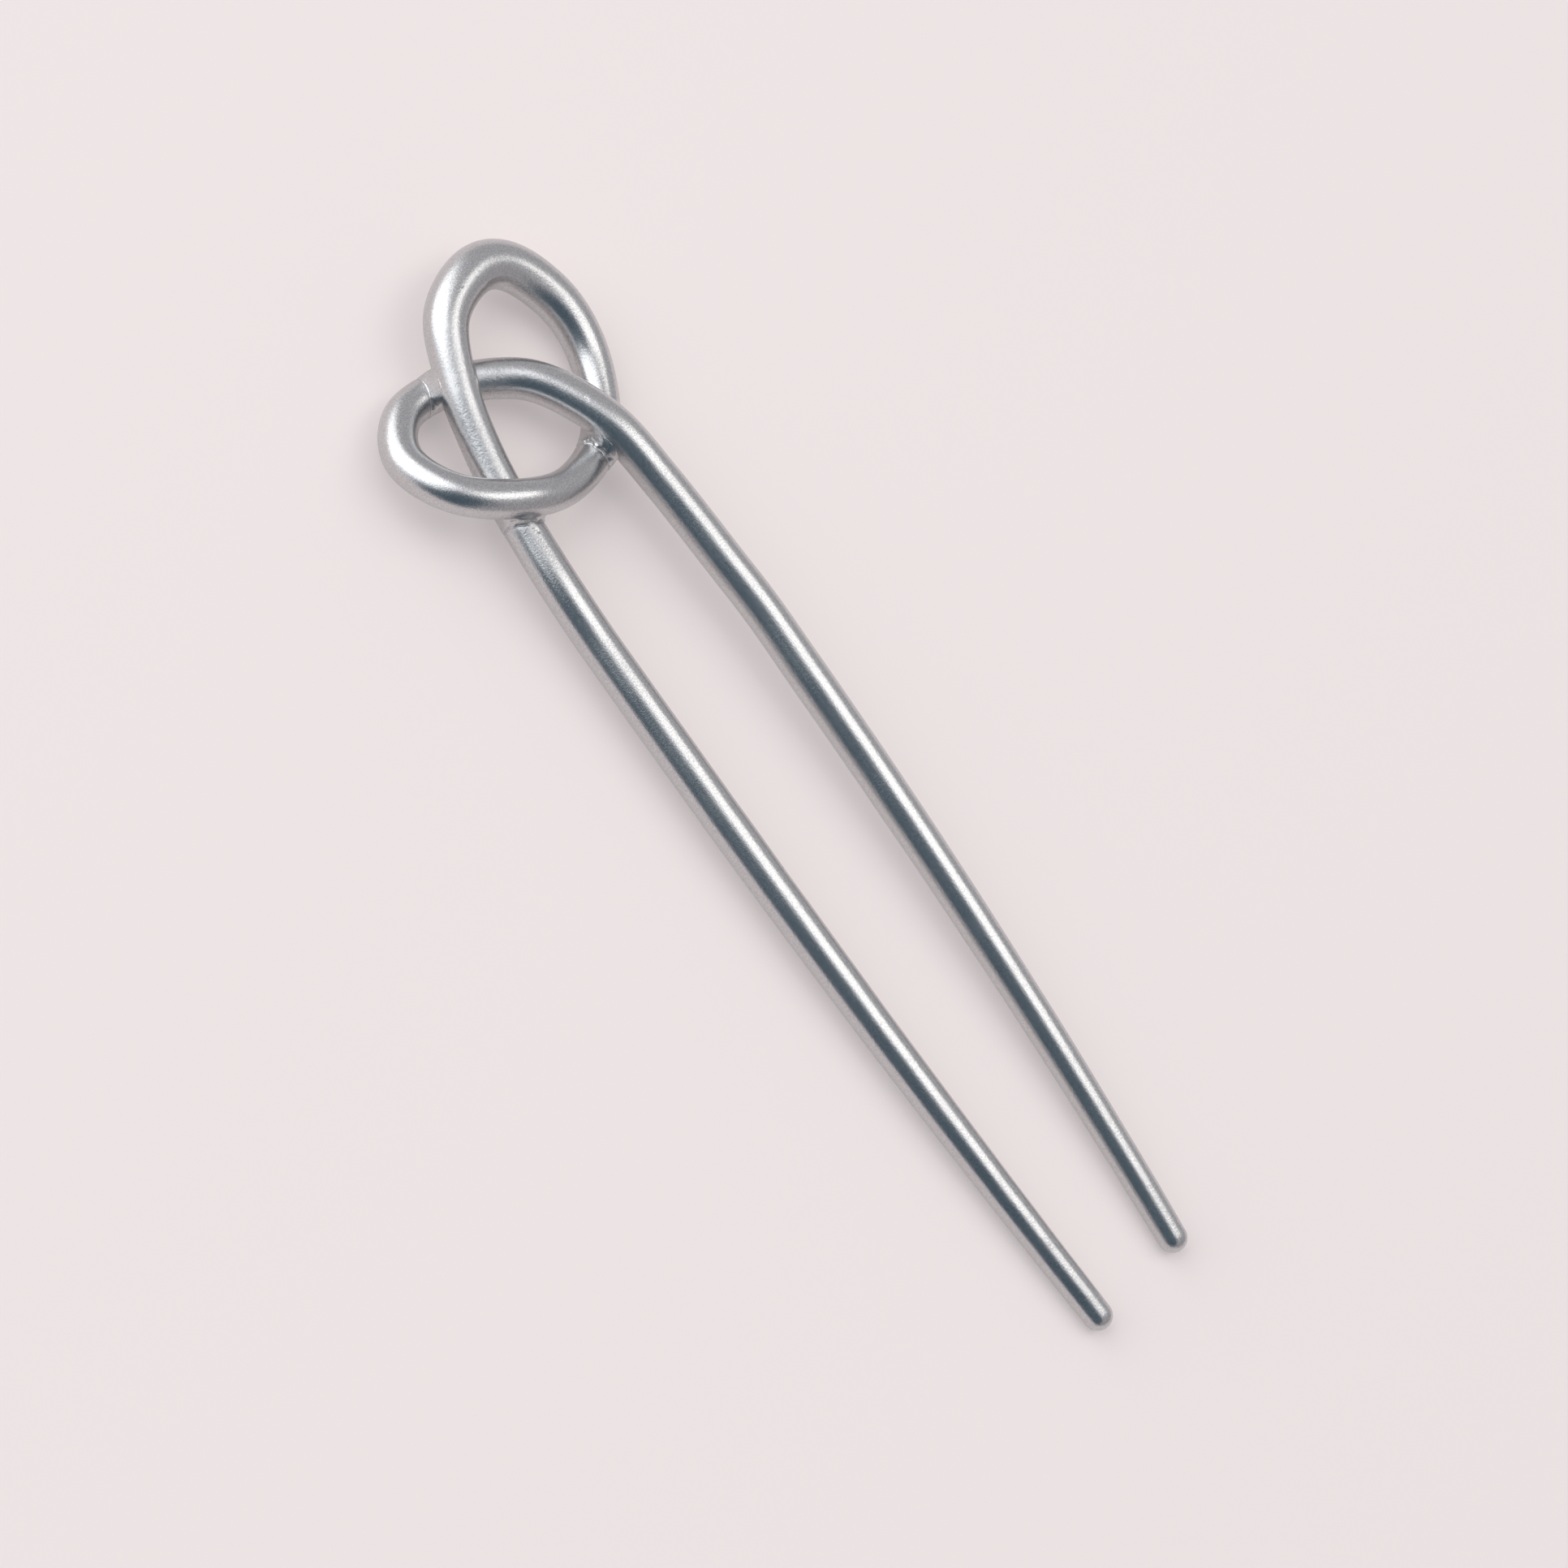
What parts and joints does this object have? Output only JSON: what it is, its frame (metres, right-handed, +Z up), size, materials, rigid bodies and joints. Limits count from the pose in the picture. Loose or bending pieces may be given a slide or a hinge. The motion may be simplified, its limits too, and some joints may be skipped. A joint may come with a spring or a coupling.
{
  "type": "hairpin",
  "caption": "Forked metal hairpin in satin silver: one thick round wire bent into prongs, with an open overhand knot as its head, for holding up a bun or twist of hair.",
  "frame": {"origin": "on the surface that the hairpin lies on, under the middle of its box", "axes": "+X across the prongs, +Y from the tips towards the knot, +Z up from the surface"},
  "size_m": [0.0282, 0.117, 0.0084],
  "materials": {
    "satin_silver": "satin silver plate over a casting, with a fine grain"
  },
  "bodies": {
    "root": {"hairpin": "satin_silver"}
  },
  "joints": []
}
